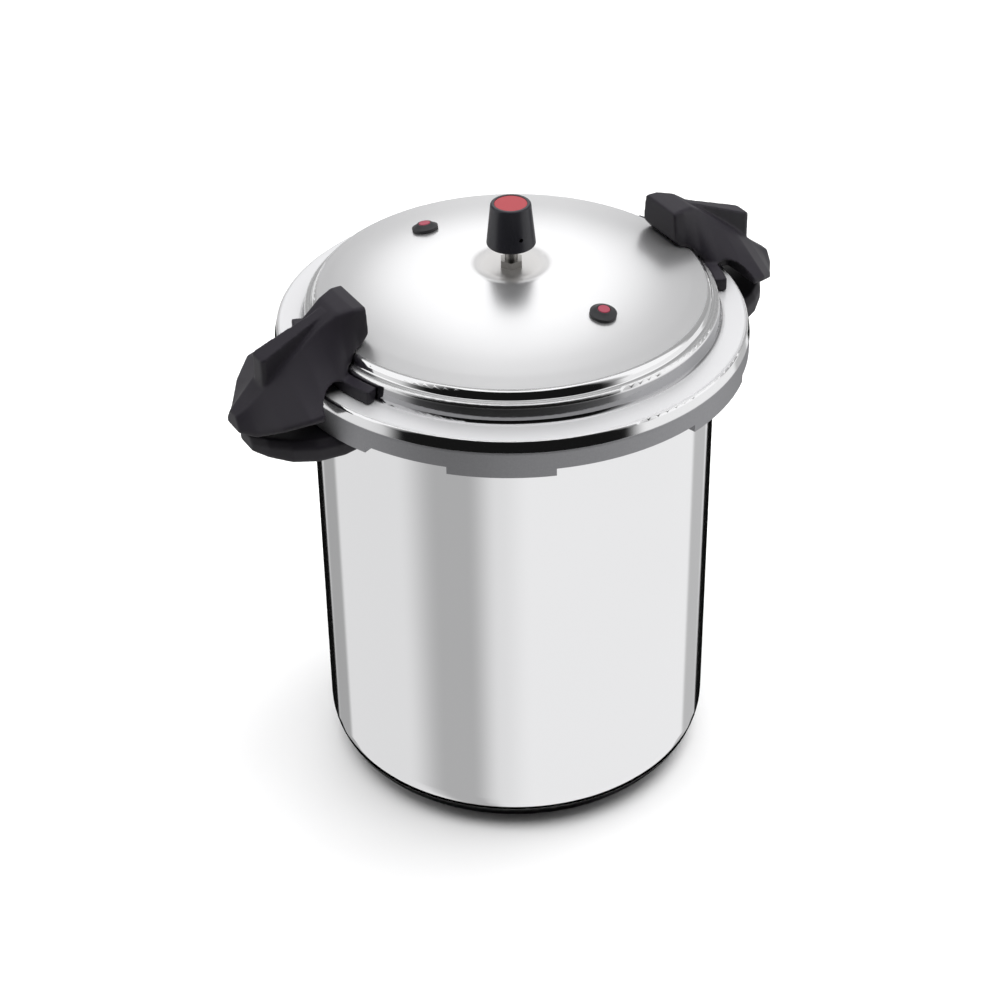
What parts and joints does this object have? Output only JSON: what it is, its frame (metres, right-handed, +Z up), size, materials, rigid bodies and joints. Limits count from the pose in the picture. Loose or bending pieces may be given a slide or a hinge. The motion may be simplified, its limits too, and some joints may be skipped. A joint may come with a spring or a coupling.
{
  "type": "pressure canner",
  "caption": "Tall stovetop pressure canner: aluminium pot, twist-lock domed lid with seal, lifting pressure regulator on a vent pipe, pressure indicator, moulded side handles and a rack.",
  "frame": {"origin": "centre of the pot's base, on the surface it stands on", "axes": "+Z up, the two handles along X, the pressure indicator on the -Y side"},
  "size_m": [0.391, 0.3, 0.4013],
  "materials": {
    "pot_metal": "polished outside, satin inside",
    "lid_metal": "polished, with a matte skirt",
    "handle": "satin black moulded phenolic",
    "strap": "plain",
    "screw": "plated",
    "seal_rubber": "matt black",
    "vent_metal": "bright",
    "regulator_black": "satin black",
    "regulator_red": "dull red",
    "weight_steel": "turned",
    "clip_steel": "spring steel",
    "plug_rubber": "satin black",
    "pin_red": "red head",
    "rack_metal": "satin"
  },
  "bodies": {
    "pot": {"pot": "pot_metal", "pot_handle_left": "handle", "pot_handle_right": "handle", "pot_strap_left": "strap", "pot_strap_right": "strap", "pot_handle_screws": "screw"},
    "seal": {"sealing_ring": "seal_rubber"},
    "lid": {"lid": "lid_metal", "lid_handle_left": "handle", "lid_handle_right": "handle", "lid_strap_left": "strap", "lid_strap_right": "strap", "lid_handle_screws": "screw", "vent_pipe": "vent_metal", "vent_pipe_nut": "vent_metal", "vent_pipe_washer": "vent_metal", "indicator_grommet": "plug_rubber", "overpressure_grommet": "plug_rubber", "overpressure_pin": "pin_red"},
    "regulator_core": {"regulator_core": "weight_steel"},
    "regulator": {"regulator_shell": "regulator_black", "regulator_cap": "regulator_red", "regulator_weight": "weight_steel", "regulator_clip": "clip_steel"},
    "indicator": {"indicator_pin": "pin_red", "indicator_clip": "clip_steel"},
    "rack": {"canning_rack": "rack_metal"}
  },
  "joints": [
    {"name": "lid_lift", "type": "slide", "parent": "pot", "child": "seal", "axis": [0, 0, 1], "range_m": [0, 0.18]},
    {"name": "lid_turn", "type": "hinge", "parent": "seal", "child": "lid", "pos_m": [0, 0, 0.32], "axis": [0, 0, 1], "range_deg": [0, 30]},
    {"name": "regulator_lift", "type": "slide", "parent": "lid", "child": "regulator_core", "axis": [0, 0, 1], "range_m": [0, 0.04]},
    {"name": "regulator_spin", "type": "hinge", "parent": "regulator_core", "child": "regulator", "pos_m": [0, 0, 0.39], "axis": [0, 0, 1], "continuous": true},
    {"name": "indicator_rise", "type": "slide", "parent": "lid", "child": "indicator", "axis": [0.0449, -0.1736, 0.9838], "range_m": [0, 0.004]},
    {"name": "rack_lift", "type": "slide", "parent": "pot", "child": "rack", "axis": [0, 0, 1], "range_m": [0, 0.1]}
  ]
}
